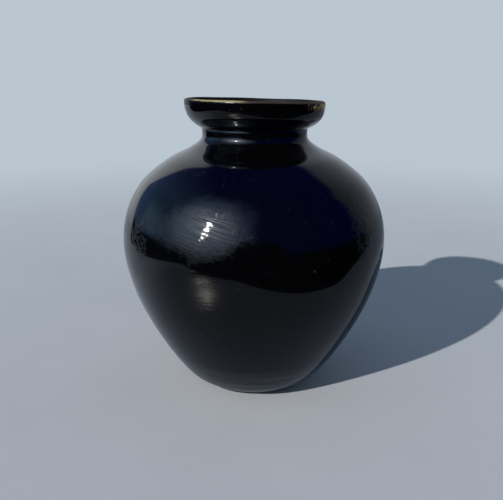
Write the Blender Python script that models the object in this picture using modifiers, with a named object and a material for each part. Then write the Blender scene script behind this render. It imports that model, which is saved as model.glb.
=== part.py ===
"""Black clay pot (barro negro): a round-bellied jar with a short neck and a cupped mouth.

The jar is raised by hand from six sections of clay, one on the other, luted together with slip:
base pad, lower wall, shoulder wall, neck collar, mouth cup and lip coil.  The joints between the
wall's sections are bevelled laps, cut across the wall so that each section seats inside or over
the next, and a thin slip layer is left between the two faces.

Metres, +Z up.  The origin is the centre of the foot ring, on the surface that the pot stands on.
"""

import math

import bpy
import numpy as np

MM = 0.001

# Driving dimensions, in metres.
HEIGHT = 180.5 * MM
BELLY_RADIUS = 81.7 * MM
BELLY_HEIGHT = 92.0 * MM
FOOT_RADIUS = 30.0 * MM            # outer edge of the flat ring that touches the table
PAD_EDGE_RADIUS = 34.4 * MM        # where the rounded underside turns up into the wall
PAD_EDGE_HEIGHT = 2.5 * MM
NECK_RADIUS = 32.5 * MM
NECK_HEIGHT = 156.5 * MM
CUP_ROOT_HEIGHT = 162.4 * MM       # the crease where the mouth cup sits on the neck
CREASE_RADIUS = 32.0 * MM
MOUTH_RADIUS = 42.7 * MM

# Clay thickness.
FLOOR_THICKNESS = 7.0 * MM
WALL_FOOT = 6.0 * MM
WALL_BODY = 5.0 * MM
WALL_CUP = 4.0 * MM
LIP_THICKNESS = 3.2 * MM
FLOOR_FILLET = 4.0 * MM            # where the floor starts to rise into the wall
UNDER_TURN = 2.0 * MM              # how far outside the foot ring the underside starts to turn up

# Shallow hollow under the base pad, inside the foot ring.
HOLLOW_RADIUS = 21.0 * MM
HOLLOW_DEPTH = 1.0 * MM
HOLLOW_EDGE = 3.0 * MM             # width of the slope from the ring into the hollow

# Joints between the sections: their heights on the outside, and how far each lap rises inwards.
SLIP_GAP = 0.33 * MM
PAD_JOINT_HEIGHT = 3.8 * MM
SHOULDER_JOINT_HEIGHT = 92.0 * MM
NECK_JOINT_HEIGHT = 154.3 * MM
CUP_JOINT_HEIGHT = 162.7 * MM
LIP_JOINT_HEIGHT = 175.6 * MM
PAD_LAP = 1.5 * MM
WALL_LAP = 5.0 * MM
NECK_LAP = 2.0 * MM
LIP_LAP = 1.0 * MM

# Smoothness of the turned surfaces.
TURN_STEPS = 64
FINE_STEPS = 24                    # points of the dense curve between two key rings
MAX_TURN = math.radians(7.0)       # most that the outline bends between two points of a profile
MAX_STRIDE = 12.0 * MM             # longest straight stretch of a profile
LIP_ARC_STEPS = 6
PAD_ARC_STEPS = 3

# Key rings of the outside, from the foot to the crease under the cup: radius, height.
BODY_RINGS = [
    (PAD_EDGE_RADIUS, PAD_EDGE_HEIGHT),
    (43.1 * MM, 8.5 * MM),
    (52.5 * MM, 20.0 * MM),
    (67.3 * MM, 45.0 * MM),
    (76.8 * MM, 68.0 * MM),
    (BELLY_RADIUS, BELLY_HEIGHT),
    (78.9 * MM, 112.0 * MM),
    (69.5 * MM, 130.0 * MM),
    (52.9 * MM, 143.9 * MM),
    (38.6 * MM, 151.4 * MM),
    (NECK_RADIUS, NECK_HEIGHT),
    (CREASE_RADIUS, CUP_ROOT_HEIGHT),
]

# Key rings of the cup, from the crease to just under the lip.
CUP_RINGS = [
    (CREASE_RADIUS, CUP_ROOT_HEIGHT),
    (37.1 * MM, 165.6 * MM),
    (40.3 * MM, 169.0 * MM),
    (42.0 * MM, 173.2 * MM),
    (MOUTH_RADIUS, HEIGHT - 0.5 * LIP_THICKNESS),
]

# Clay thickness by height, followed by straight interpolation.
THICKNESS_HEIGHTS = [PAD_EDGE_HEIGHT, 45.0 * MM, NECK_HEIGHT, 169.0 * MM, HEIGHT]
THICKNESSES = [WALL_FOOT, WALL_BODY, WALL_BODY, WALL_CUP, LIP_THICKNESS]

BLACK_CLAY = (0.012, 0.013, 0.018, 1.0)
WORN_LIP = (0.30, 0.24, 0.13, 1.0)
BARE_CLAY = (0.06, 0.057, 0.055, 1.0)


def smooth_curve(rings):
    """Dense points (radius, height) on a centripetal Catmull-Rom curve through the key rings."""
    keys = [np.array(ring) for ring in rings]
    keys = [2 * keys[0] - keys[1]] + keys + [2 * keys[-1] - keys[-2]]
    points = []
    for before, start, end, after in zip(keys, keys[1:], keys[2:], keys[3:]):
        t1 = np.linalg.norm(start - before) ** 0.5
        t2 = t1 + np.linalg.norm(end - start) ** 0.5
        t3 = t2 + np.linalg.norm(after - end) ** 0.5
        for step in range(FINE_STEPS):
            t = t1 + (t2 - t1) * step / FINE_STEPS
            a1 = before + (start - before) * t / t1
            a2 = start + (end - start) * (t - t1) / (t2 - t1)
            a3 = end + (after - end) * (t - t2) / (t3 - t2)
            b1 = a1 + (a2 - a1) * t / t2
            b2 = a2 + (a3 - a2) * (t - t1) / (t3 - t1)
            points.append(b1 + (b2 - b1) * (t - t1) / (t2 - t1))
    points.append(keys[-2])
    return np.array(points)


class Wall:
    """A stretch of the clay wall: the outside curve, and the thickness inwards from it."""

    def __init__(self, rings):
        self.outside = smooth_curve(rings)
        along = np.gradient(self.outside, axis=0)
        along /= np.linalg.norm(along, axis=1)[:, None]
        self.inward = np.column_stack([-along[:, 1], along[:, 0]])
        self.direction = np.unwrap(np.arctan2(along[:, 1], along[:, 0]))
        self.thickness = np.interp(self.outside[:, 1], THICKNESS_HEIGHTS, THICKNESSES)
        strides = np.linalg.norm(np.diff(self.outside, axis=0), axis=1)
        self.length = np.concatenate([[0.0], np.cumsum(strides)])

    def station(self, height):
        """Length along the outside, from its low end, at which it reaches the height."""
        return float(np.interp(height, self.outside[:, 1], self.length))

    def value(self, station, column):
        return float(np.interp(station, self.length, column))

    def point(self, station, depth):
        """Radius and height of a point in the clay: depth 0 is the outside, 1 the inside."""
        reach = depth * self.value(station, self.thickness)
        radius = self.value(station, self.outside[:, 0]) + reach * self.value(station, self.inward[:, 0])
        height = self.value(station, self.outside[:, 1]) + reach * self.value(station, self.inward[:, 1])
        return (radius, height)

    def stations(self, low, high):
        """Stations from low to high, closer together where the outline bends more."""
        picked = [low]
        inside = [s for s in self.length if low < s < high]
        for station in inside:
            bend = abs(self.value(station, self.direction) - self.value(picked[-1], self.direction))
            if bend > MAX_TURN or station - picked[-1] > MAX_STRIDE:
                picked.append(station)
        if len(picked) > 1 and high - picked[-1] < 1.0 * MM:
            picked.pop()
        return picked + [high]

    def half_gap(self, lap):
        """Length along the wall that leaves half of the slip gap across a bevelled lap."""
        return 0.5 * SLIP_GAP * math.hypot(1.0, lap / WALL_BODY)

    def outer_face(self, low, high):
        """Points down the outside, from the high station to the low one."""
        return [self.point(station, 0.0) for station in reversed(self.stations(low, high))]

    def inner_face(self, low, high):
        """Points up the inside, from the low station to the high one."""
        return [self.point(station, 1.0) for station in self.stations(low, high)]

    def section(self, low, high, low_lap, high_lap):
        """Closed profile of the clay between two joints, running down its outside first.

        low and high are the joints' stations on the outside, and the laps are how much further up
        the wall each joint comes out on the inside.
        """
        low = low + self.half_gap(low_lap)
        high = high - self.half_gap(high_lap)
        return self.outer_face(low, high) + self.inner_face(low + low_lap, high + high_lap)


def arc(centre, radius, start, end, steps):
    """Points (radius, height) on an arc round a centre, angles in degrees from +X."""
    angles = [math.radians(start + (end - start) * step / steps) for step in range(steps + 1)]
    return [(centre[0] + radius * math.cos(a), centre[1] + radius * math.sin(a)) for a in angles]


def rounded_corner(start, corner, end, steps):
    """Points on the smooth turn from start to end that leaves each along the way to the corner."""
    points = []
    for step in range(steps + 1):
        t = step / steps
        points.append(tuple((1 - t) ** 2 * a + 2 * t * (1 - t) * b + t ** 2 * c
                            for a, b, c in zip(start, corner, end)))
    return points


def make_material(name, colour, roughness):
    """A Principled material for one section of the pot."""
    material = bpy.data.materials.new(name)
    material.use_nodes = True
    shader = material.node_tree.nodes["Principled BSDF"]
    shader.inputs["Base Color"].default_value = colour
    shader.inputs["Roughness"].default_value = roughness
    shader.inputs["Metallic"].default_value = 0.0
    return material


def turned(name, profile, closed, material, collection):
    """An object turned from a profile (radius, height) about the pot's axis."""
    vertices = [(radius, 0.0, height) for radius, height in profile]
    edges = [(i, i + 1) for i in range(len(profile) - 1)]
    if closed:
        edges.append((len(profile) - 1, 0))
    mesh = bpy.data.meshes.new(name)
    mesh.from_pydata(vertices, edges, [])
    mesh.materials.append(material)
    piece = bpy.data.objects.new(name, mesh)
    collection.objects.link(piece)
    screw = piece.modifiers.new("Turn", "SCREW")
    screw.axis = "Z"
    screw.steps = TURN_STEPS
    screw.render_steps = TURN_STEPS
    screw.use_merge_vertices = True
    screw.merge_threshold = 0.00005
    screw.use_smooth_shade = True
    return piece


def base_pad_profile(wall, joint):
    """The pad from the centre of the pot's floor, out to its joint, and back underneath."""
    joint -= wall.half_gap(PAD_LAP)
    inner = wall.point(joint + PAD_LAP, 1.0)
    floor = [(0.0, FLOOR_THICKNESS), (inner[0] - FLOOR_FILLET, FLOOR_THICKNESS), inner]
    edge = wall.outer_face(0.0, joint)
    ring_edge = (FOOT_RADIUS, 0.0)
    turn_under = rounded_corner(edge[-1], (FOOT_RADIUS + UNDER_TURN, 0.0), ring_edge, PAD_ARC_STEPS)
    hollow = [(HOLLOW_RADIUS, 0.0), (HOLLOW_RADIUS - HOLLOW_EDGE, HOLLOW_DEPTH), (0.0, HOLLOW_DEPTH)]
    return floor + edge[:-1] + turn_under + hollow


def mouth_cup_profile(cup, lip_joint, neck_top):
    """The cup between its two joints, with a toe that seats on the neck's inner edge."""
    low = cup.station(CUP_JOINT_HEIGHT)
    high = lip_joint - cup.half_gap(LIP_LAP)
    toe = (neck_top[0], neck_top[1] + SLIP_GAP)
    return cup.outer_face(low, high) + [toe] + cup.inner_face(low, high + LIP_LAP)


def lip_profile(cup, joint):
    """The lip from its joint on the cup, rounded over the top."""
    low = joint + cup.half_gap(LIP_LAP)
    half = 0.5 * LIP_THICKNESS
    centre = (MOUTH_RADIUS - half, HEIGHT - half)
    over = arc(centre, half, 180.0, 0.0, LIP_ARC_STEPS)
    return [cup.point(low, 0.0), cup.point(low + LIP_LAP, 1.0)] + over


def main():
    for piece in list(bpy.data.objects):
        bpy.data.objects.remove(piece, do_unlink=True)
    collection = bpy.data.collections.new("black_clay_pot")
    bpy.context.scene.collection.children.link(collection)

    body = Wall(BODY_RINGS)
    cup = Wall(CUP_RINGS)
    pad_joint = body.station(PAD_JOINT_HEIGHT)
    shoulder_joint = body.station(SHOULDER_JOINT_HEIGHT)
    neck_joint = body.station(NECK_JOINT_HEIGHT)
    neck_top = body.station(CUP_ROOT_HEIGHT)
    lip_joint = cup.station(LIP_JOINT_HEIGHT)

    base_pad = base_pad_profile(body, pad_joint)
    lower_wall = body.section(pad_joint, shoulder_joint, PAD_LAP, WALL_LAP)
    shoulder_wall = body.section(shoulder_joint, neck_joint, WALL_LAP, NECK_LAP)
    neck_collar = body.section(neck_joint, neck_top, NECK_LAP, 0.0)
    mouth_cup = mouth_cup_profile(cup, lip_joint, neck_collar[-1])
    lip_coil = lip_profile(cup, lip_joint)

    profiles = {
        "base_pad": (base_pad, False, BARE_CLAY, 0.85),
        "lower_wall": (lower_wall, True, BLACK_CLAY, 0.1),
        "shoulder_wall": (shoulder_wall, True, BLACK_CLAY, 0.1),
        "neck_collar": (neck_collar, True, BLACK_CLAY, 0.12),
        "mouth_cup": (mouth_cup, True, BLACK_CLAY, 0.12),
        "lip_coil": (lip_coil, True, WORN_LIP, 0.4),
    }
    for name, (profile, closed, colour, roughness) in profiles.items():
        material = make_material(name, colour, roughness)
        turned(name, profile, closed, material, collection)


main()
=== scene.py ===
"""The looks of the black clay pot (barro negro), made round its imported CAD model.

Each section of clay gets a fine mesh that stands for its plain CAD solid: the same outline, with
the small unevenness of hand work, burnish strokes, turning lines, a slightly tilted mouth and a
lip worn through the black skin.  Metres, +Z up, in the CAD model's frame.
"""

import math

import bpy
import numpy as np
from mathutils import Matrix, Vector


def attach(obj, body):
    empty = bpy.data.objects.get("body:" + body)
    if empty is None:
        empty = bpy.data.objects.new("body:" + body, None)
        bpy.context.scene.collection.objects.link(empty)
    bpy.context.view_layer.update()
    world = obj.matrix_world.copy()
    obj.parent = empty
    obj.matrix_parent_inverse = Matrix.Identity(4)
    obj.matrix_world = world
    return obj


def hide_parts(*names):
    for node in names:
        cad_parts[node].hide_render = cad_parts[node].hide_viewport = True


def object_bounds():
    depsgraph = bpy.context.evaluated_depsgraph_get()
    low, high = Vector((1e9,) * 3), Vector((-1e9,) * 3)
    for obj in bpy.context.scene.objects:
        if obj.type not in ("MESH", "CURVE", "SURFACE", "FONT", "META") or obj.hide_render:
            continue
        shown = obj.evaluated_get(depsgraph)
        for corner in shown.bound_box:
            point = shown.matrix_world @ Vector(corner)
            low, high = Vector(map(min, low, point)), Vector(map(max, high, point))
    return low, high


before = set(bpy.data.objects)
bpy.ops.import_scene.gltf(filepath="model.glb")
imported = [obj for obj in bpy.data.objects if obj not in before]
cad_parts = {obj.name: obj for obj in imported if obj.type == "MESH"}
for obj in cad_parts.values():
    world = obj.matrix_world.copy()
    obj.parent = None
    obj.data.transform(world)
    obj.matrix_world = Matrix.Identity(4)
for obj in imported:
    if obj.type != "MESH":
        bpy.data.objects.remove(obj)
cad_low, cad_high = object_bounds()

MM = 0.001

# ---------------------------------------------------------------------------
# Sizes: the belly's from the CAD model's box, the rest as the CAD model's outline has them
# ---------------------------------------------------------------------------

UNEVENNESS = 0.3 * MM                     # room left inside the CAD box for hand unevenness
BELLY_RADIUS = cad_high.x - UNEVENNESS
MOUTH_RADIUS = 42.5 * MM
CREASE_RADIUS = 32.0 * MM
CUP_ROOT_HEIGHT = 162.4 * MM

# Key rings of the outline, from the foot up: radius and height.
BODY_RINGS = [
    (34.4 * MM, 2.5 * MM),
    (43.1 * MM, 8.5 * MM),
    (52.5 * MM, 20.0 * MM),
    (67.3 * MM, 45.0 * MM),
    (76.8 * MM, 68.0 * MM),
    (BELLY_RADIUS, 92.0 * MM),
    (78.9 * MM, 112.0 * MM),
    (69.5 * MM, 130.0 * MM),
    (52.9 * MM, 143.9 * MM),
    (38.6 * MM, 151.4 * MM),
    (32.5 * MM, 156.5 * MM),
    (CREASE_RADIUS, CUP_ROOT_HEIGHT),
]
CUP_RINGS = [
    (CREASE_RADIUS, CUP_ROOT_HEIGHT),
    (37.1 * MM, 165.6 * MM),
    (40.3 * MM, 169.0 * MM),
    (42.0 * MM, 173.2 * MM),
    (MOUTH_RADIUS, 177.4 * MM),
]
THICKNESS_HEIGHTS = [2.5 * MM, 45.0 * MM, 156.5 * MM, 169.0 * MM, 180.5 * MM]
THICKNESSES = [6.0 * MM, 5.0 * MM, 5.0 * MM, 4.0 * MM, 3.2 * MM]

# The pot's floor bends up into the wall; under it, the foot ring runs round a shallow hollow.
FLOOR_THICKNESS = 7.0 * MM
FLOOR_BEND = 4.0 * MM
FLOOR_BEND_CORNER = 1.0 * MM
FOOT_RADIUS = 30.0 * MM
FOOT_ROUNDING = 2.0 * MM
HOLLOW_RADIUS = 21.0 * MM
HOLLOW_DEPTH = 1.0 * MM
HOLLOW_SLOPE = 4.0 * MM
HOLLOW_SLOPE_CORNER = 1.5 * MM

# Heights at which the sections meet; the neck and the cup meet at the cup's root.
PAD_JOINT = 3.8 * MM
SHOULDER_JOINT = 92.0 * MM
NECK_JOINT = 154.3 * MM
LIP_JOINT = 175.6 * MM

# How far each kind of hand work moves the surface.
LUMP_DEPTH = 0.12 * MM
OVAL_DEPTH = 0.12 * MM
TURNING_DEPTH = 0.035 * MM
FINGER_DEPTH = 0.3 * MM
LIP_WAVE_DEPTH = 0.12 * MM
RIDGE_DEPTH = 0.12 * MM                   # fine ridge of slip where the cup sits on the neck
RIDGE_HEIGHT = 161.4 * MM
RIDGE_WIDTH = 0.5 * MM

# The mouth is tilted, its left end high, and stands a little to the right of the foot.
MOUTH_TILT = math.radians(1.5)
TILT_START = 158.0 * MM
TILT_END = 174.0 * MM
MOUTH_SHIFT = 0.4 * MM
SHIFT_START = 150.0 * MM

# The meshes.
TURNS = 320                               # points round the pot
FINE_STEPS = 40                           # points of the dense curve between key rings
SMOOTHING_PASSES = 30                     # over the dense curve's direction
OUTSIDE_STRIDE = 1.3 * MM
INSIDE_STRIDE = 1.6 * MM
FOOT_STRIDE = 0.3 * MM
FOOT_STRIDE_TOP = 16.0 * MM               # height up to which the foot's fine stride goes
UPPER_STRIDE = 0.4 * MM                   # on the neck and the cup
LIP_STRIDE = 0.3 * MM
LIP_TOP_POINTS = 17                       # over the rounded top of the lip
PROBE = 0.05 * MM                         # step each way at which the moved surface's run is read


def smooth_curve(rings):
    """Dense points (radius, height) on a centripetal Catmull-Rom curve through the key rings."""
    keys = [np.array(ring) for ring in rings]
    keys = [2 * keys[0] - keys[1]] + keys + [2 * keys[-1] - keys[-2]]
    points = []
    for before, start, end, after in zip(keys, keys[1:], keys[2:], keys[3:]):
        t1 = np.linalg.norm(start - before) ** 0.5
        t2 = t1 + np.linalg.norm(end - start) ** 0.5
        t3 = t2 + np.linalg.norm(after - end) ** 0.5
        for step in range(FINE_STEPS):
            t = t1 + (t2 - t1) * step / FINE_STEPS
            a1 = before + (start - before) * t / t1
            a2 = start + (end - start) * (t - t1) / (t2 - t1)
            a3 = end + (after - end) * (t - t2) / (t3 - t2)
            b1 = a1 + (a2 - a1) * t / t2
            b2 = a2 + (a3 - a2) * (t - t1) / (t3 - t1)
            points.append(b1 + (b2 - b1) * (t - t1) / (t2 - t1))
    points.append(keys[-2])
    return np.array(points)


def smoothed(values, passes):
    """The same numbers with their small kinks evened out, ends kept."""
    values = np.array(values)
    for _ in range(passes):
        values[1:-1] = 0.25 * values[:-2] + 0.5 * values[1:-1] + 0.25 * values[2:]
    return values


class Face:
    """A stretch of the outline: points (radius, height), unit normals, and how it was worked."""

    def __init__(self, points, normals, kind):
        self.points = np.array(points)
        self.normals = np.array(normals)
        self.kind = kind


def straight_face(points, kind):
    """A face along a polyline, its normals square to it and to the left of its run."""
    points = np.array(points)
    along = np.gradient(points, axis=0)
    along /= np.linalg.norm(along, axis=1)[:, None]
    return Face(points, np.column_stack([-along[:, 1], along[:, 0]]), kind)


class Wall:
    """A stretch of the clay wall: the outside curve and the thickness inwards from it."""

    def __init__(self, rings):
        self.outside = smooth_curve(rings)
        along = np.gradient(self.outside, axis=0)
        angle = smoothed(np.unwrap(np.arctan2(along[:, 1], along[:, 0])), SMOOTHING_PASSES)
        self.along = np.column_stack([np.cos(angle), np.sin(angle)])
        self.inward = np.column_stack([-np.sin(angle), np.cos(angle)])
        self.thickness = np.interp(self.outside[:, 1], THICKNESS_HEIGHTS, THICKNESSES)
        self.inside = self.outside + self.inward * self.thickness[:, None]
        strides = np.linalg.norm(np.diff(self.outside, axis=0), axis=1)
        self.length = np.concatenate([[0.0], np.cumsum(strides)])

    def station(self, height):
        """Length along the outside at which it reaches the height."""
        return float(np.interp(height, self.outside[:, 1], self.length))

    def read(self, stations, columns):
        """The curve's columns at the stations."""
        return np.column_stack([np.interp(stations, self.length, c) for c in columns.T])

    def spaced(self, low, high, stride):
        """Even stations from low to high, no further apart than the stride."""
        count = max(2, int(math.ceil((high - low) / stride)) + 1)
        return np.linspace(low, high, count)

    def outer_face(self, low, high, stride):
        """The outside from the high station down to the low one."""
        stations = self.spaced(low, high, stride)[::-1]
        return Face(self.read(stations, self.outside), -self.read(stations, self.inward), "outside")

    def inner_face(self, low, high):
        """The inside from the low station up to the high one."""
        stations = self.spaced(low, high, INSIDE_STRIDE)
        return Face(self.read(stations, self.inside), self.read(stations, self.inward), "inside")


def joint_face(start, end):
    """The hidden joint face between two faces' ends."""
    return straight_face([start, end], "joint")


# ---------------------------------------------------------------------------
# Hand work: small, smooth moves of the surface, the same wherever two sections meet
# ---------------------------------------------------------------------------

def ease(value, start, end):
    """0 before start, 1 after end, smooth between."""
    t = np.clip((value - start) / (end - start), 0.0, 1.0)
    return t * t * (3.0 - 2.0 * t)


def lumps(points):
    """Slow unevenness of a hand-shaped wall, between -1 and 1."""
    # The factors and phases only keep the waves out of step with each other.
    x, y, z = points.T / (30.0 * MM)
    first = np.sin(1.3 * x + 0.7 * y + 0.4) * np.sin(1.1 * z - 0.6 * y + 1.7)
    second = np.sin(0.8 * y - 1.2 * z + 2.1) * np.sin(1.5 * x + 0.9 * z + 0.3)
    third = np.sin(2.3 * x - 1.1 * z + 4.0) * np.sin(2.1 * y + 1.7 * z + 1.1)
    return (first + second + 0.5 * third) / 2.5


def turning_lines(height, angle):
    """Fine scraped lines round the foot."""
    band = ease(height, 3.0 * MM, 4.5 * MM) * (1.0 - ease(height, 10.0 * MM, 14.0 * MM))
    wander = 0.35 * np.sin(2.0 * angle + 0.8) + 0.2 * np.sin(5.0 * angle)
    lines = np.sin(2.0 * math.pi * height / (1.7 * MM) + wander)
    lines += 0.6 * np.sin(2.0 * math.pi * height / (0.9 * MM) - 2.0 * wander + 1.0)
    return band * lines


def finger_rings(height, angle):
    """Low ridges that the potter's fingers leave inside."""
    wander = 0.6 * np.sin(angle + 0.5) + 0.3 * np.sin(3.0 * angle + 2.0)
    return np.sin(2.0 * math.pi * height / (8.0 * MM) + wander)


def by_hand(points, normals, kind):
    """Moves points of the true turned shape to where the hand-made surface is."""
    angle = np.arctan2(points[:, 1], points[:, 0])
    height = points[:, 2]
    away_from_foot = ease(height, 1.0 * MM, 20.0 * MM)
    push = LUMP_DEPTH * lumps(points) * away_from_foot
    oval = OVAL_DEPTH * np.cos(2.0 * angle + 0.9) * away_from_foot
    if kind == "outside":
        push += TURNING_DEPTH * turning_lines(height, angle)
        push += RIDGE_DEPTH * np.exp(-((height - RIDGE_HEIGHT) / RIDGE_WIDTH) ** 2)
    if kind == "inside":
        below_neck = 1.0 - ease(height, 140.0 * MM, 155.0 * MM)
        push += FINGER_DEPTH * finger_rings(height, angle) * below_neck * away_from_foot
    moved = points + normals * push[:, None]
    moved[:, 0] += oval * np.cos(angle)
    moved[:, 1] += oval * np.sin(angle)
    near_lip = ease(height, 170.0 * MM, 178.0 * MM)
    wave = np.sin(3.0 * angle + 0.4) + 0.6 * np.sin(7.0 * angle + 2.0)
    moved[:, 2] += near_lip * LIP_WAVE_DEPTH * wave
    moved[:, 2] -= ease(height, TILT_START, TILT_END) * math.tan(MOUTH_TILT) * moved[:, 0]
    moved[:, 0] += ease(height, SHIFT_START, TILT_START) * MOUTH_SHIFT
    return moved


def swept(face, angles):
    """Points and unit normals of a face turned through the angles, as hand work leaves them."""
    radius, height = face.points[:, 0][:, None], face.points[:, 1][:, None]
    normal_out, normal_up = face.normals[:, 0][:, None], face.normals[:, 1][:, None]
    cos, sin = np.cos(angles)[None, :], np.sin(angles)[None, :]
    ones = np.ones_like(cos)
    points = np.stack([radius * cos, radius * sin, height * ones], axis=-1).reshape(-1, 3)
    normals = np.stack([normal_out * cos, normal_out * sin, normal_up * ones], axis=-1).reshape(-1, 3)
    around = np.stack([-sin * np.ones_like(radius), cos * np.ones_like(radius),
                       0.0 * radius * ones], axis=-1).reshape(-1, 3)
    along = np.cross(normals, around)

    def moved_run(way):
        """How the hand-made surface runs where the true one runs along the way."""
        ahead = by_hand(points + PROBE * way, normals, face.kind)
        behind = by_hand(points - PROBE * way, normals, face.kind)
        return ahead - behind

    moved = by_hand(points, normals, face.kind)
    tilted = np.cross(moved_run(around), moved_run(along))
    tilted /= np.linalg.norm(tilted, axis=1)[:, None]
    tilted *= np.sign(np.sum(tilted * normals, axis=1))[:, None]
    shape = (len(face.points), len(angles), 3)
    return moved.reshape(shape), tilted.reshape(shape)


def clay_piece(name, faces, material, closed):
    """A section of the pot: its faces in order round the outline, turned about the axis."""
    angles = np.arange(TURNS) * 2.0 * math.pi / TURNS
    rings = []
    bands = []
    for index, face in enumerate(faces):
        points, normals = swept(face, angles)
        shared = 1 if index else 0        # a face starts on the last ring of the one before it
        start = len(rings) - shared
        rings.extend(points[shared:])
        for row in range(len(points) - 1):
            bands.append((start + row, start + row + 1, normals[row], normals[row + 1]))
    if closed:
        # The outline ends where it began, so its last ring is the first one again.
        last = len(rings) - 1
        bands = [(upper % last, lower % last, *normals) for upper, lower, *normals in bands]
        rings = rings[:last]
    vertices = np.array(rings).reshape(-1, 3)
    turn = np.arange(TURNS)
    onward = (turn + 1) % TURNS
    quads, loop_normals = [], []
    for upper, lower, upper_normals, lower_normals in bands:
        quads.append(np.column_stack([upper * TURNS + turn, lower * TURNS + turn,
                                      lower * TURNS + onward, upper * TURNS + onward]))
        loop_normals.append(np.stack([upper_normals[turn], lower_normals[turn],
                                      lower_normals[onward], upper_normals[onward]], axis=1))
    quads = np.concatenate(quads).tolist()
    loop_normals = np.concatenate(loop_normals)
    if not closed:
        quads, vertices, loop_normals = close_centres(quads, vertices, loop_normals, len(rings))
    mesh = bpy.data.meshes.new(name)
    mesh.from_pydata(vertices.tolist(), [], quads)
    mesh.shade_smooth()
    mesh.normals_split_custom_set(loop_normals.reshape(-1, 3).tolist())
    mesh.materials.append(material)
    piece = bpy.data.objects.new(name, mesh)
    bpy.context.scene.collection.objects.link(piece)
    return piece


def close_centres(quads, vertices, loop_normals, ring_count):
    """Turns the first and last rows, which meet the axis, into fans round one centre point each."""
    last_ring = (ring_count - 1) * TURNS
    centres = [vertices[:TURNS].mean(axis=0), vertices[last_ring:].mean(axis=0)]
    kept = vertices[TURNS:last_ring]
    first_centre = len(kept)
    last_centre = first_centre + 1
    faces, normals = [], []
    for quad, corner_normals in zip(quads, loop_normals):
        corners = []
        for corner, normal in zip(quad, corner_normals):
            if corner < TURNS:
                corner = first_centre
            elif corner >= last_ring:
                corner = last_centre
            else:
                corner -= TURNS
            if corner not in corners:
                corners.append(corner)
                normals.append(normal)
        faces.append(corners)
    return faces, np.vstack([kept, centres]), np.array(normals)


def rounded_corner(start, corner, end, steps):
    """Points on the smooth turn from start to end that leaves each along the way to the corner."""
    t = np.linspace(0.0, 1.0, steps + 1)[:, None]
    start, corner, end = np.array(start), np.array(corner), np.array(end)
    return (1 - t) ** 2 * start + 2 * t * (1 - t) * corner + t ** 2 * end


def line(start, end, steps):
    """Even points on the straight way from start to end."""
    t = np.linspace(0.0, 1.0, steps + 1)[:, None]
    return (1 - t) * np.array(start) + t * np.array(end)


# ---------------------------------------------------------------------------
# Materials
# ---------------------------------------------------------------------------

# Scuffed patches of the skin, worn by hands: centre and reach each way in millimetres, strength.
SCUFFS = [
    ((-29.0, -72.0, 114.0), (30.0, 45.0, 17.0), 1.0),
    ((-13.0, -30.0, 155.0), (15.0, 14.0, 6.0), 0.35),
]
FAINT_SCUFFS = 0.3                        # strength of the small ones anywhere on the pot

# Chipped patches of the skin, at both sides of the belly: centre and reach in millimetres.
CHIPS = [
    ((59.0, -51.0, 113.0), (12.0, 14.0, 24.0)),
    ((-63.0, -47.0, 106.0), (9.0, 12.0, 15.0)),
]

# Where level strokes break up the mirrored sheen of the floor: centre and reach in millimetres.
TURNED_CENTRE = (-30.0, -72.0, 80.0)
TURNED_REACH = (22.0, 40.0, 15.0)

# Burnishing strokes: which way is across them, how many there are to a metre, and their length.
SLANTING_ACROSS = (0.24, 0.0, 0.971)
LEVEL_ACROSS = (0.0, 0.0, 1.0)
SLANTING_STROKES = (SLANTING_ACROSS, 620.0, 22.0 * MM)
FINE_STROKES = (SLANTING_ACROSS, 1300.0, 22.0 * MM)
LEVEL_STROKES = (LEVEL_ACROSS, 420.0, 25.0 * MM)
FOOT_LINES = (LEVEL_ACROSS, 620.0, 200.0 * MM)
FOOT_LINES_FADE = (11.0 * MM, 30.0 * MM)  # heights between which the foot's lines fade out

# Depths of the bumps in the black skin.
SCRAPED_DEPTH = 0.05 * MM
WAVE_DEPTH = 0.10 * MM
RIPPLE_DEPTH = 0.20 * MM
SCRATCH_DEPTH = 0.088 * MM
PIT_DEPTH = 0.004 * MM
CHIP_DEPTH = 0.09 * MM
HAZE_DEPTH = 0.13 * MM

BLACK = (0, 0, 0, 1)
SMOKED = ((0.0009, 0.001, 0.0014, 1), (0.0016, 0.0016, 0.002, 1))
SMOKED_LIP = (0.0012, 0.0012, 0.0016, 1)
SPECK = (0.05, 0.05, 0.055, 1)
# Paler grey given to the foot's lines and, faintly, to the lowest part of the foot.
FOOT_PALE_GREY = (0.085, 0.081, 0.078, 1)
STAIN = (0.42, 0.28, 0.10, 1)
# The worn lip's clay, painted lighter and golden on the side towards the sun: a painted highlight on real
# wear.
SUNLIT_GOLD = ((0.30, 0.23, 0.09, 1), (0.50, 0.42, 0.20, 1))
BROWN = ((0.02, 0.015, 0.01, 1), (0.07, 0.052, 0.035, 1))
BARE_CLAY = ((0.018, 0.017, 0.017, 1), (0.05, 0.048, 0.046, 1))
BARE_GRAIN = (0.08, 0.075, 0.07, 1)

SKIN_ROUGHNESS = 0.14                     # under the coat, away from the scuffs
SKIN_IOR = 1.5
SKIN_SPECULAR = 0.16
COAT_ROUGHNESS = 0.045
LIP_SPECULAR = 0.25

LIP_TOP = 179.0 * MM                      # before the mouth's tilt
SUNLIT_LIP_SIDE = (-0.54, -0.84, 0.0)         # towards the sun: there the lip's worn clay is painted gold, a painted highlight
DRIP_LENGTH = 9.0 * MM                    # of the stain below the right end of the lip
STAIN_HEIGHTS = (178.0 * MM, 179.5 * MM)
STAIN_TO_RIGHT = (29.0 * MM, 35.0 * MM)
STAIN_TO_FRONT = (-5.0 * MM, -9.0 * MM)


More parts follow.
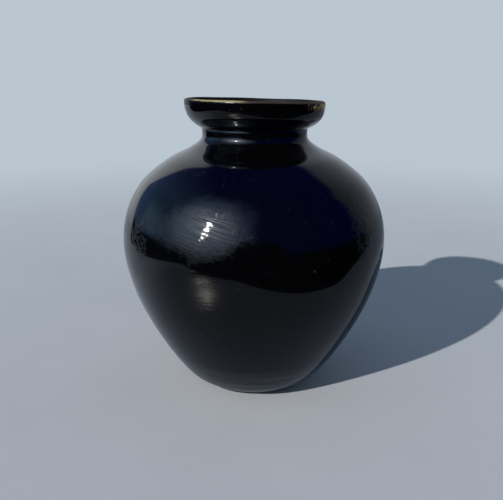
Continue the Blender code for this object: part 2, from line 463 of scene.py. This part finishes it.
class Nodes:
    """Short ways to add and join nodes in one node tree."""

    # A Mix node's sockets for colours, by number, since its other kinds have the same names.
    MIX_FACTOR = 0
    MIX_FIRST = 6
    MIX_SECOND = 7
    MIX_RESULT = 2

    def __init__(self, tree):
        self.tree = tree

    def add(self, kind, **inputs):
        node = self.tree.nodes.new(kind)
        for key, value in inputs.items():
            self.plug(node, key.replace("_", " "), value)
        return node

    def plug(self, node, key, value):
        socket = node.inputs[key]
        if isinstance(value, bpy.types.NodeSocket):
            self.tree.links.new(value, socket)
        elif value is not None:
            socket.default_value = value

    def math(self, operation, first, second=None, third=None):
        node = self.tree.nodes.new("ShaderNodeMath")
        node.operation = operation
        for index, value in enumerate((first, second, third)):
            if value is not None:
                self.plug(node, index, value)
        return node.outputs[0]

    def ease(self, value, start, end, low=0.0, high=1.0):
        """low before start, high after end, smooth between."""
        node = self.tree.nodes.new("ShaderNodeMapRange")
        node.interpolation_type = "SMOOTHSTEP"
        for key, number in zip(("Value", "From Min", "From Max", "To Min", "To Max"),
                               (value, start, end, low, high)):
            self.plug(node, key, number)
        return node.outputs["Result"]

    def fade(self, value, start, end, high=1.0):
        """high before start, 0 after end, smooth between."""
        return self.ease(value, start, end, high, 0.0)

    def product(self, first, *others):
        for other in others:
            first = self.math("MULTIPLY", first, other)
        return first

    def mix(self, factor, first, second, blend="MIX"):
        node = self.tree.nodes.new("ShaderNodeMix")
        node.data_type = "RGBA"
        node.blend_type = blend
        self.plug(node, self.MIX_FACTOR, factor)
        self.plug(node, self.MIX_FIRST, first)
        self.plug(node, self.MIX_SECOND, second)
        return node.outputs[self.MIX_RESULT]

    def vector_math(self, operation, first, second=None):
        node = self.tree.nodes.new("ShaderNodeVectorMath")
        node.operation = operation
        self.plug(node, 0, first)
        if second is not None:
            self.plug(node, 1, second)
        return node.outputs["Value" if operation in ("DOT_PRODUCT", "LENGTH") else "Vector"]

    def split(self, vector):
        node = self.tree.nodes.new("ShaderNodeSeparateXYZ")
        self.plug(node, 0, vector)
        return node.outputs

    def join(self, x, y, z):
        node = self.tree.nodes.new("ShaderNodeCombineXYZ")
        for index, value in enumerate((x, y, z)):
            self.plug(node, index, value)
        return node.outputs[0]

    def noise(self, vector, scale, detail=2.0, roughness=0.5, distortion=0.0):
        node = self.add("ShaderNodeTexNoise", Vector=vector, Scale=scale, Detail=detail,
                        Roughness=roughness, Distortion=distortion)
        return node.outputs["Fac"]

    def bump(self, height, distance, normal=None, strength=1.0):
        node = self.add("ShaderNodeBump", Height=height, Strength=strength, Distance=distance)
        if normal is not None:
            self.plug(node, "Normal", normal)
        return node.outputs["Normal"]


def new_material(name):
    """A material with a Principled shader, its nodes helper and the object's own coordinates."""
    material = bpy.data.materials.new(name)
    material.use_nodes = True
    shader = material.node_tree.nodes["Principled BSDF"]
    nodes = Nodes(material.node_tree)
    place = nodes.add("ShaderNodeTexCoord").outputs["Object"]
    return material, nodes, shader, place


def strokes(nodes, place, across, fineness, length):
    """Noise drawn out into burnishing strokes: fine across them, long along them."""
    spread = nodes.vector_math("DOT_PRODUCT", place, across)
    squeezed = nodes.vector_math("MULTIPLY", spread, tuple(fineness * part for part in across))
    stretched = nodes.vector_math("ADD", squeezed,
                                  nodes.vector_math("MULTIPLY", place, (1.0 / length,) * 3))
    return nodes.noise(stretched, 1.0, detail=3.0, roughness=0.65, distortion=0.3)


def patch_reach(nodes, place, centre, reach):
    """How far a place is from the patch's centre: 1 at the patch's edge."""
    offset = nodes.vector_math("SUBTRACT", place, tuple(part * MM for part in centre))
    scaled = nodes.vector_math("DIVIDE", offset, tuple(part * MM for part in reach))
    return nodes.vector_math("LENGTH", scaled)


def rim_stain(nodes, place):
    """Where the brown of the worn lip runs down the cup: at its right side, in ragged drips."""
    x, y, z = nodes.split(place)[:3]
    stretched = nodes.vector_math("MULTIPLY", place, (1.0, 1.0, 0.35))
    ragged = nodes.noise(stretched, 420.0, detail=3.0, roughness=0.6)
    near_top = nodes.ease(nodes.math("ADD", z, nodes.product(ragged, DRIP_LENGTH)), *STAIN_HEIGHTS)
    side = nodes.product(nodes.ease(x, *STAIN_TO_RIGHT), nodes.ease(y, *STAIN_TO_FRONT))
    patchy = nodes.ease(nodes.noise(place, 330.0, detail=3.0, roughness=0.6), 0.4, 0.56)
    return nodes.product(near_top, side, patchy)


def burnished_black(name):
    """Clay polished with a stone and smoked black: a mirror skin over hazy burnishing strokes."""
    material, nodes, shader, place = new_material(name)
    slanting = strokes(nodes, place, *SLANTING_STROKES)
    fine = strokes(nodes, place, *FINE_STROKES)
    level = strokes(nodes, place, *LEVEL_STROKES)
    lines = strokes(nodes, place, *FOOT_LINES)
    patches = nodes.noise(place, 34.0, detail=3.0, roughness=0.55, distortion=0.4)
    pits = nodes.ease(nodes.noise(place, 480.0, detail=3.0, roughness=0.7, distortion=0.3), 0.5, 0.72)
    specks = nodes.ease(nodes.noise(place, 420.0, detail=1.0), 0.72, 0.78)

    # Scuffed patches with ragged edges, and faint small ones anywhere on the pot.
    blotches = nodes.noise(place, 75.0, detail=5.0, roughness=0.72, distortion=0.5)
    ragged = nodes.math("ADD", nodes.product(blotches, 1.7), nodes.product(fine, 0.6))
    small = nodes.noise(place, 60.0, detail=3.0, roughness=0.6, distortion=0.6)
    scuffed = nodes.product(nodes.ease(small, 0.58, 0.66), FAINT_SCUFFS)
    for centre, reach, strength in SCUFFS:
        edge = nodes.math("ADD", patch_reach(nodes, place, centre, reach), ragged)
        scuffed = nodes.math("MAXIMUM", scuffed, nodes.fade(edge, 1.7, 2.15, strength))

    # Chips, inside their own ragged patches only.
    chipped = 0.0
    for centre, reach in CHIPS:
        edge = nodes.math("ADD", patch_reach(nodes, place, centre, reach), blotches)
        chipped = nodes.math("MAXIMUM", chipped, nodes.fade(edge, 1.1, 1.5))
    chips = nodes.ease(nodes.noise(place, 330.0, detail=3.0, roughness=0.7, distortion=0.8), 0.45, 0.6)

    # The colour: black, with specks, a paler grey in the foot's lines and faintly over the whole foot,
    # and the stain below the lip.
    foot = nodes.fade(nodes.split(place)["Z"], *FOOT_LINES_FADE)
    paler_in_lines = nodes.product(foot, nodes.ease(lines, 0.48, 0.62, 0.2, 1.0))
    speckled = nodes.mix(nodes.product(specks, 0.3), nodes.mix(patches, *SMOKED), SPECK)
    with_paler_foot = nodes.mix(paler_in_lines, speckled, FOOT_PALE_GREY)
    nodes.plug(shader, "Base Color", nodes.mix(rim_stain(nodes, place), with_paler_foot, STAIN))

    # Two layers of shine: a crisp coat, and a weak one under it that turns hazy in the scuffs.
    hazy = nodes.ease(fine, 0.4, 0.6, 0.4, 0.75)
    added = nodes.product(scuffed, nodes.math("SUBTRACT", hazy, SKIN_ROUGHNESS))
    nodes.plug(shader, "Roughness", nodes.math("ADD", SKIN_ROUGHNESS, added))
    shader.inputs["IOR"].default_value = SKIN_IOR
    shader.inputs["Specular IOR Level"].default_value = SKIN_SPECULAR
    shader.inputs["Coat Weight"].default_value = 1.0
    shader.inputs["Coat Roughness"].default_value = COAT_ROUGHNESS
    shader.inputs["Coat IOR"].default_value = SKIN_IOR

    # Both layers follow the foot's lines, the wall's slow waves and the fine strokes in the scuffs.
    # Only the coat shows the slanting strokes, the ripples, the pits and the chips.
    turned = nodes.fade(patch_reach(nodes, place, TURNED_CENTRE, TURNED_REACH), 0.5, 1.1)
    ploughed = nodes.math("ADD", fine, nodes.product(slanting, 0.5))
    scraped = nodes.bump(nodes.product(lines, foot), SCRAPED_DEPTH)
    waves = nodes.bump(nodes.noise(place, 28.0, detail=1.0), WAVE_DEPTH, scraped)
    ripples = nodes.bump(nodes.product(level, turned), RIPPLE_DEPTH, waves)
    scratches = nodes.bump(nodes.product(ploughed, scuffed), SCRATCH_DEPTH, ripples)
    pitted = nodes.bump(nodes.product(pits, scuffed), PIT_DEPTH, scratches)
    nodes.plug(shader, "Coat Normal", nodes.bump(nodes.product(chips, chipped), CHIP_DEPTH, pitted))
    nodes.plug(shader, "Normal", nodes.bump(nodes.product(fine, scuffed), HAZE_DEPTH, waves))
    return material


def worn_lip(name):
    """The lip, worn through the black skin to brown, and painted gold on its side towards the sun as a
    painted highlight.
    """
    material, nodes, shader, place = new_material(name)
    grain = nodes.noise(place, 500.0, detail=4.0, roughness=0.65)
    broken = nodes.noise(place, 220.0, detail=4.0, roughness=0.7, distortion=0.5)

    # Worn above a broken line just under the tilted top.
    sides = nodes.split(place)
    level = nodes.math("ADD", sides["Z"], nodes.product(sides["X"], math.tan(MOUTH_TILT)))
    wander = nodes.product(nodes.math("SUBTRACT", broken, 0.5), 1.0 * MM)
    worn = nodes.ease(nodes.math("ADD", level, wander), LIP_TOP - 0.8 * MM, LIP_TOP - 0.4 * MM)

    # Less so on the side of the lip that faces into the pot.
    outwards = nodes.vector_math("NORMALIZE", nodes.vector_math("MULTIPLY", place, (1.0, 1.0, 0.0)))
    normal = nodes.add("ShaderNodeNewGeometry").outputs["Normal"]
    facing = nodes.vector_math("DOT_PRODUCT", normal, outwards)
    bared = nodes.product(worn, nodes.ease(facing, -0.5, 0.2, 0.3, 1.0))

    # Painted highlight: the worn clay turns gold on the side that faces the sun.
    sunlit = nodes.ease(nodes.vector_math("DOT_PRODUCT", outwards, SUNLIT_LIP_SIDE), 0.87, 0.96)
    bare = nodes.mix(sunlit, nodes.mix(grain, *BROWN), nodes.mix(grain, *SUNLIT_GOLD))
    stained = nodes.mix(rim_stain(nodes, place), SMOKED_LIP, STAIN)
    nodes.plug(shader, "Base Color", nodes.mix(bared, stained, bare))
    polished = nodes.math("ADD", 0.2, nodes.product(worn, 0.25))
    nodes.plug(shader, "Roughness", nodes.ease(facing, -0.3, 0.1, 0.6, polished))
    shader.inputs["Specular IOR Level"].default_value = LIP_SPECULAR
    nodes.plug(shader, "Normal", nodes.bump(broken, 0.08 * MM, strength=0.6))
    return material


def raw_clay(name):
    """Unburnished clay of the pot's floor and foot: matt, grainy and dark grey."""
    material, nodes, shader, place = new_material(name)
    grain = nodes.noise(place, 700.0, detail=4.0, roughness=0.65)
    cloud = nodes.noise(place, 40.0, detail=3.0, roughness=0.6)
    clay = nodes.mix(cloud, *BARE_CLAY)
    nodes.plug(shader, "Base Color", nodes.mix(nodes.ease(grain, 0.35, 0.75), clay, BARE_GRAIN))
    nodes.plug(shader, "Roughness", nodes.ease(grain, 0.2, 0.8, 0.7, 0.95))
    nodes.plug(shader, "Normal", nodes.bump(grain, 0.12 * MM, strength=0.8))
    return material


# ---------------------------------------------------------------------------
# The pot's sections
# ---------------------------------------------------------------------------

def shown(piece, node):
    """The piece stands for its CAD node, whose part it hides, and rides on the pot's one body."""
    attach(piece, "root")
    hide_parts(node)


def wall_faces(outer_faces, inner):
    """A closed outline: the outside from the top down, and the inside back up to it."""
    below = joint_face(outer_faces[-1].points[-1], inner.points[0])
    above = joint_face(inner.points[-1], outer_faces[0].points[0])
    return [*outer_faces, below, inner, above]


def pad_faces(edge, wall_inside):
    """The base pad's outline, from the axis over its floor, round its edge and back under it."""
    bend = wall_inside[0] - FLOOR_BEND
    bend_corner = wall_inside[0] - FLOOR_BEND_CORNER
    slope_end = HOLLOW_RADIUS - HOLLOW_SLOPE
    slope_corner = HOLLOW_RADIUS - HOLLOW_SLOPE_CORNER
    floor = line((0.0, FLOOR_THICKNESS), (bend, FLOOR_THICKNESS), steps=12)
    rise = rounded_corner((bend, FLOOR_THICKNESS), (bend_corner, FLOOR_THICKNESS), wall_inside, steps=6)
    under = rounded_corner(edge.points[-1], (FOOT_RADIUS + FOOT_ROUNDING, 0.0), (FOOT_RADIUS, 0.0),
                           steps=8)
    ring = line((FOOT_RADIUS, 0.0), (HOLLOW_RADIUS, 0.0), steps=4)
    slope = rounded_corner((HOLLOW_RADIUS, 0.0), (slope_corner, HOLLOW_DEPTH),
                           (slope_end, HOLLOW_DEPTH), steps=6)
    hollow = line((slope_end, HOLLOW_DEPTH), (0.0, HOLLOW_DEPTH), steps=8)
    above = [straight_face(points, "inside") for points in (floor, rise)]
    below = [straight_face(points, "foot") for points in (under, ring, slope, hollow)]
    return [*above, joint_face(wall_inside, edge.points[0]), edge, *below]


def lip_faces(outer, inner):
    """The lip's outline: like a wall's, but closed by half a circle over the top."""
    centre = 0.5 * (inner.points[-1] + outer.points[0])
    half = 0.5 * np.linalg.norm(outer.points[0] - inner.points[-1])
    start = math.atan2(*(inner.points[-1] - centre)[::-1])
    sweep = np.linspace(start, start - math.pi, LIP_TOP_POINTS)
    over_normals = np.column_stack([np.cos(sweep), np.sin(sweep)])
    over = Face(centre + half * over_normals, over_normals, "outside")
    return [outer, joint_face(outer.points[-1], inner.points[0]), inner, over]


def make_pot():
    body = Wall(BODY_RINGS)
    cup = Wall(CUP_RINGS)
    pad_joint = body.station(PAD_JOINT)
    shoulder_joint = body.station(SHOULDER_JOINT)
    neck_joint = body.station(NECK_JOINT)
    neck_top = float(body.length[-1])
    lip_joint = cup.station(LIP_JOINT)
    cup_top = float(cup.length[-1])
    foot_top = body.station(FOOT_STRIDE_TOP)

    black = burnished_black("burnished_black")
    bare = raw_clay("bare_clay")
    worn = worn_lip("worn_lip")

    lower_inside = body.inner_face(pad_joint, shoulder_joint)
    pad = pad_faces(body.outer_face(0.0, pad_joint, FOOT_STRIDE), lower_inside.points[0])
    shown(clay_piece("base_pad_clay", pad, bare, False), "base_pad")

    foot = body.outer_face(pad_joint, foot_top, FOOT_STRIDE)
    rest = body.outer_face(foot_top, shoulder_joint, OUTSIDE_STRIDE)
    lower = wall_faces([rest, foot], lower_inside)
    shown(clay_piece("lower_wall_clay", lower, black, True), "lower_wall")

    shoulder = wall_faces([body.outer_face(shoulder_joint, neck_joint, OUTSIDE_STRIDE)],
                          body.inner_face(shoulder_joint, neck_joint))
    shown(clay_piece("shoulder_wall_clay", shoulder, black, True), "shoulder_wall")

    neck = wall_faces([body.outer_face(neck_joint, neck_top, UPPER_STRIDE)],
                      body.inner_face(neck_joint, neck_top))
    shown(clay_piece("neck_collar_clay", neck, black, True), "neck_collar")

    mouth = wall_faces([cup.outer_face(0.0, lip_joint, UPPER_STRIDE)],
                       cup.inner_face(0.0, lip_joint))
    shown(clay_piece("mouth_cup_clay", mouth, black, True), "mouth_cup")

    lip = lip_faces(cup.outer_face(lip_joint, cup_top, LIP_STRIDE), cup.inner_face(lip_joint, cup_top))
    shown(clay_piece("lip_coil_clay", lip, worn, True), "lip_coil")


# ---------------------------------------------------------------------------
# Stage, light and camera
# ---------------------------------------------------------------------------

CAMERA_PLACE = (-1.45 * MM, -386.2 * MM, 189.3 * MM)
CAMERA_PITCH = math.radians(15.08)        # downwards
LENS = 44.56                              # millimetres, as the sensor's width
SENSOR_WIDTH = 36.0

TO_SUN = Vector((-0.602, -0.646, 0.468)).normalized()
SUN_ENERGY = 2.7
SUN_ANGLE = math.radians(0.8)
GLOW_WIDTH = 24.0                         # degrees from the sun at which its glow has halved

FLOOR_REACH = 9.0                         # metres each way
PALE_PAINT = ((0.645, 0.65, 0.66, 1), (0.735, 0.74, 0.75, 1))
PALE_FAR = (0.92, 0.97, 0.97, 1)
PALE_REACH = 1.3

# The floor that only reflections show: duller than the seen one, as painted shade, and least so behind
# the pot.
SHADED_FLOOR_PAINT = ((0.19, 0.21, 0.24, 1), (0.22, 0.24, 0.27, 1))
DULL_FAR = (0.62, 0.67, 0.72, 1)
DULL_REACH = 0.9
DULL_BEHIND = (0.475, 0.505, 0.55, 1)
SHADED_RIGHT = (0.19, 0.21, 0.24, 1)
BEHIND_WAY = (-0.35, 1.0, 0.0)            # it turns lighter going this way, as the painted shade lifts
BEHIND_CHANGE = (-65.0 * MM, 140.0 * MM)
RIGHT_CHANGE = (90.0 * MM, 400.0 * MM)    # and dull again going right, painted shade
BOARD_DROP = 0.1 * MM

# The sun's sheen on that floor, painted on as a glow, a painted reflection: centre and reach each way in
# millimetres, strength.
SHEENS = [
    ((-104.0, -152.0, 0.0), (19.0, 22.0, 1.0), 0.60),
    ((-155.0, -200.0, 0.0), (24.0, 26.0, 1.0), 0.70),
    ((-90.0, -136.0, 0.0), (9.0, 10.0, 1.0), 0.60),
]
SHEEN_COLOUR = (1.0, 0.92, 0.82, 1)
SHEEN_STRENGTH = 2.0

# Its corners: it ends near the camera, so the middle of the pot stays dark.
BOARD_CORNERS = [
    (-1200.0 * MM, 1400.0 * MM),
    (-1200.0 * MM, 950.0 * MM),
    (-700.0 * MM, 560.0 * MM),
    (-520.0 * MM, 330.0 * MM),
    (-450.0 * MM, 100.0 * MM),
    (-450.0 * MM, -200.0 * MM),
    (-400.0 * MM, -270.0 * MM),
    (-60.0 * MM, -270.0 * MM),
    (190.0 * MM, -90.0 * MM),
    (345.0 * MM, -45.0 * MM),
    (411.0 * MM, 0.0),
    (470.0 * MM, 55.0 * MM),
    (620.0 * MM, 150.0 * MM),
    (1000.0 * MM, 330.0 * MM),
    (1400.0 * MM, 700.0 * MM),
    (1400.0 * MM, 1400.0 * MM),
]

# The surround.  Angles are in degrees: elevation above the floor, and azimuth from straight
# behind the pot, the right side positive.
DEGREES = 180.0 / math.pi
SEEN_BY_CAMERA = (0.489, 0.565, 0.632, 1)
AMBIENT = (0.13, 0.18, 0.25, 1)
SKY = (0.001, 0.003, 0.11, 1)
SKY_AT_LEFT = (0.06, 0.125, 0.26, 1)
SKYLINE = (1.0, 22.0)                     # top of the dark surround: all round, and in front
SKYLINE_RISE = (0.86, 0.99)               # how nearly in front a direction is where it rises
GLOW_FALLS = [(1.0, 0.9), (0.85, 1.1), (0.7, 1.35)]  # power and strength of red, green and blue
GLOW_WANDER = 26.0                        # how far its ragged edge goes in and out, in all
GLOW_FADE = (18.0, 46.0)
HAZE = (0.12, 0.19, 0.22, 1)              # a patch low at the left
HAZE_AZIMUTHS = ((-104.0, -90.0), (-72.0, -57.0))
HAZE_ELEVATIONS = ((0.0, 7.0), (14.0, 30.0))

# The backdrop's colour from its left end on: between two azimuths it changes to the next one.
BACKDROP_START = (0.48, 0.51, 0.54, 1)
BACKDROP_CHANGES = [
    ((-40.0, 10.0), (0.36, 0.40, 0.46, 1)),
    ((0.0, 50.0), (0.15, 0.17, 0.20, 1)),
    ((40.0, 80.0), (0.09, 0.10, 0.12, 1)),
]
# Between the first two angles, the edge goes from the third angle to the fourth.
LEFT_EDGE = (-2.0, 20.0, -49.5, -37.5)    # an azimuth, by elevation
RIGHT_EDGE = (-4.0, 10.0, 67.0, 79.0)     # an azimuth, by elevation
TOP_EDGE = (40.0, 80.0, 52.0, 41.0)       # an elevation, by azimuth
BOTTOM_EDGE = (-40.0, -35.0)              # elevations between which it sets in
LOW_DIMMING = (-8.0, 6.0, 0.65, 1.0)      # share of its light that is left, by elevation


def floor_colour(nodes, place, paint, far, reach):
    """Cloudy paint by the pot, the far colour from the reach on."""
    cloud = nodes.noise(place, 9.0, detail=4.0, roughness=0.6)
    distance = nodes.vector_math("LENGTH", place)
    return nodes.mix(nodes.ease(distance, 0.2, reach), nodes.mix(cloud, *paint), far)


def sheet(name, corners, height, material):
    """A flat level sheet of the stage."""
    mesh = bpy.data.meshes.new(name)
    mesh.from_pydata([(x, y, height) for x, y in corners], [], [tuple(range(len(corners)))])
    if mesh.polygons[0].normal.z < 0.0:
        mesh.flip_normals()
    mesh.materials.append(material)
    floor = bpy.data.objects.new(name, mesh)
    bpy.context.scene.collection.objects.link(floor)
    return floor


def make_seen_floor():
    """The floor that takes the light and the shadow, and that reflections leave out."""
    paint, nodes, shader, place = new_material("pale_floor")
    nodes.plug(shader, "Base Color", floor_colour(nodes, place, PALE_PAINT, PALE_FAR, PALE_REACH))
    shader.inputs["Specular IOR Level"].default_value = 0.0
    corners = [(-FLOOR_REACH, -FLOOR_REACH), (FLOOR_REACH, -FLOOR_REACH),
               (FLOOR_REACH, FLOOR_REACH), (-FLOOR_REACH, FLOOR_REACH)]
    floor = sheet("floor", corners, 0.0, paint)
    floor.visible_glossy = False
    floor.visible_shadow = False


def make_mirrored_floor():
    """The floor that the pot's skin mirrors, which the camera doesn't see: painted shade darkens it, and
    a painted sheen glows on it.
    """
    dull, nodes, shader, place = new_material("mirrored_floor")
    shader.inputs["Specular IOR Level"].default_value = 0.0
    # Painted shade: darker in front of the pot and to its right than behind it.
    front = floor_colour(nodes, place, SHADED_FLOOR_PAINT, DULL_FAR, DULL_REACH)
    behind = nodes.ease(nodes.vector_math("DOT_PRODUCT", place, BEHIND_WAY), *BEHIND_CHANGE)
    to_right = nodes.ease(nodes.split(place)["X"], *RIGHT_CHANGE)
    lit = nodes.mix(behind, front, DULL_BEHIND)
    nodes.plug(shader, "Base Color", nodes.mix(to_right, lit, SHADED_RIGHT))
    # Painted reflection of the sun: the floor glows in soft patches where its sheen would be.
    sheen = 0.0
    for centre, reach, strength in SHEENS:
        spread = patch_reach(nodes, place, centre, reach)
        square = nodes.product(spread, spread)
        glow = nodes.math("DIVIDE", strength, nodes.math("ADD", 1.0, nodes.product(square, square)))
        sheen = nodes.math("ADD", sheen, glow)
    nodes.plug(shader, "Emission Color", nodes.mix(sheen, BLACK, SHEEN_COLOUR))
    shader.inputs["Emission Strength"].default_value = SHEEN_STRENGTH
    board = sheet("floor_board", BOARD_CORNERS, -BOARD_DROP, dull)
    board.visible_camera = False
    board.visible_diffuse = False
    board.visible_shadow = False


def mirrored_sky(nodes, direction, elevation, azimuth):
    """Deep blue above a dark surround, a pale glow round the sun, and a patch of haze."""
    x, y = nodes.split(direction)[:2]
    skyline = nodes.ease(nodes.product(y, -1.0), *SKYLINE_RISE, *SKYLINE)
    above_skyline = nodes.math("SUBTRACT", elevation, skyline)
    colour = nodes.mix(nodes.ease(x, -0.3, -0.8), SKY, SKY_AT_LEFT)
    sky = nodes.mix(nodes.ease(above_skyline, -2.0, 4.0), BLACK, colour)

    across = nodes.product(nodes.ease(azimuth, *HAZE_AZIMUTHS[0]), nodes.fade(azimuth, *HAZE_AZIMUTHS[1]))
    upright = nodes.product(nodes.ease(elevation, *HAZE_ELEVATIONS[0]),
                            nodes.fade(elevation, *HAZE_ELEVATIONS[1]))
    haze = nodes.mix(nodes.product(across, upright), BLACK, HAZE)
    hazy = nodes.mix(1.0, sky, haze, "ADD")

    # The glow turns bluer outwards, and its edge is ragged.
    cosine = nodes.vector_math("DOT_PRODUCT", direction, tuple(TO_SUN))
    from_sun = nodes.product(nodes.math("ARCCOSINE", nodes.math("MINIMUM", cosine, 1.0)), DEGREES)
    ratio = nodes.math("DIVIDE", from_sun, GLOW_WIDTH)
    fall = nodes.math("DIVIDE", 1.0, nodes.math("ADD", 1.0, nodes.product(ratio, ratio)))
    glow = nodes.join(*(nodes.product(nodes.math("POWER", fall, power), strength)
                        for power, strength in GLOW_FALLS))
    wander = nodes.noise(direction, 6.0, detail=4.0, roughness=0.6)
    ragged = nodes.math("ADD", from_sun,
                        nodes.math("MULTIPLY_ADD", wander, GLOW_WANDER, -0.5 * GLOW_WANDER))
    shown_glow = nodes.product(nodes.ease(above_skyline, -3.0, 4.0), nodes.fade(ragged, *GLOW_FADE))
    return nodes.mix(1.0, hazy, nodes.mix(shown_glow, BLACK, glow), "ADD")


def with_backdrop(nodes, elevation, azimuth, surround):
    """The surround with the pale backdrop behind the pot in it, brightest at its left."""
    colour = BACKDROP_START
    for azimuths, following in BACKDROP_CHANGES:
        colour = nodes.mix(nodes.ease(azimuth, *azimuths), colour, following)
    colour = nodes.mix(nodes.ease(elevation, *LOW_DIMMING), BLACK, colour)
    from_left = nodes.math("SUBTRACT", azimuth, nodes.ease(elevation, *LEFT_EDGE))
    from_right = nodes.math("SUBTRACT", nodes.ease(elevation, *RIGHT_EDGE), azimuth)
    from_top = nodes.math("SUBTRACT", nodes.ease(azimuth, *TOP_EDGE), elevation)
    across = nodes.product(nodes.ease(from_left, -1.5, 1.5), nodes.ease(from_right, -3.0, 3.0))
    upright = nodes.product(nodes.ease(elevation, *BOTTOM_EDGE), nodes.ease(from_top, -4.0, 4.0))
    return nodes.mix(nodes.product(across, upright), surround, colour)


def make_world():
    """Reflections see the sky and the backdrop, the camera an even pale wall."""
    world = bpy.data.worlds.new("studio")
    bpy.context.scene.world = world
    world.use_nodes = True
    nodes = Nodes(world.node_tree)
    direction = nodes.add("ShaderNodeTexCoord").outputs["Generated"]
    x, y, z = nodes.split(direction)[:3]
    elevation = nodes.product(nodes.math("ARCSINE", z), DEGREES)
    azimuth = nodes.product(nodes.math("ARCTAN2", x, y), DEGREES)
    sky = mirrored_sky(nodes, direction, elevation, azimuth)
    reflected = with_backdrop(nodes, elevation, azimuth, sky)
    rays = nodes.add("ShaderNodeLightPath").outputs
    unseen = nodes.mix(rays["Is Glossy Ray"], AMBIENT, reflected)
    seen = nodes.mix(rays["Is Camera Ray"], unseen, SEEN_BY_CAMERA)
    nodes.plug(world.node_tree.nodes["Background"], "Color", seen)


def make_sun():
    light = bpy.data.lights.new("key", "SUN")
    light.energy = SUN_ENERGY
    light.angle = SUN_ANGLE
    lamp = bpy.data.objects.new("key", light)
    lamp.rotation_mode = "QUATERNION"
    lamp.rotation_quaternion = TO_SUN.to_track_quat("Z", "Y")
    bpy.context.scene.collection.objects.link(lamp)


def make_camera():
    camera = bpy.data.cameras.new("camera")
    camera.sensor_width = SENSOR_WIDTH
    camera.lens = LENS
    holder = bpy.data.objects.new("camera", camera)
    holder.location = CAMERA_PLACE
    holder.rotation_euler = (math.radians(90.0) - CAMERA_PITCH, 0.0, 0.0)
    bpy.context.scene.collection.objects.link(holder)
    bpy.context.scene.camera = holder


make_camera()
make_pot()
make_seen_floor()
make_mirrored_floor()
make_world()
make_sun()

scene = bpy.context.scene
scene.view_settings.view_transform = "Standard"
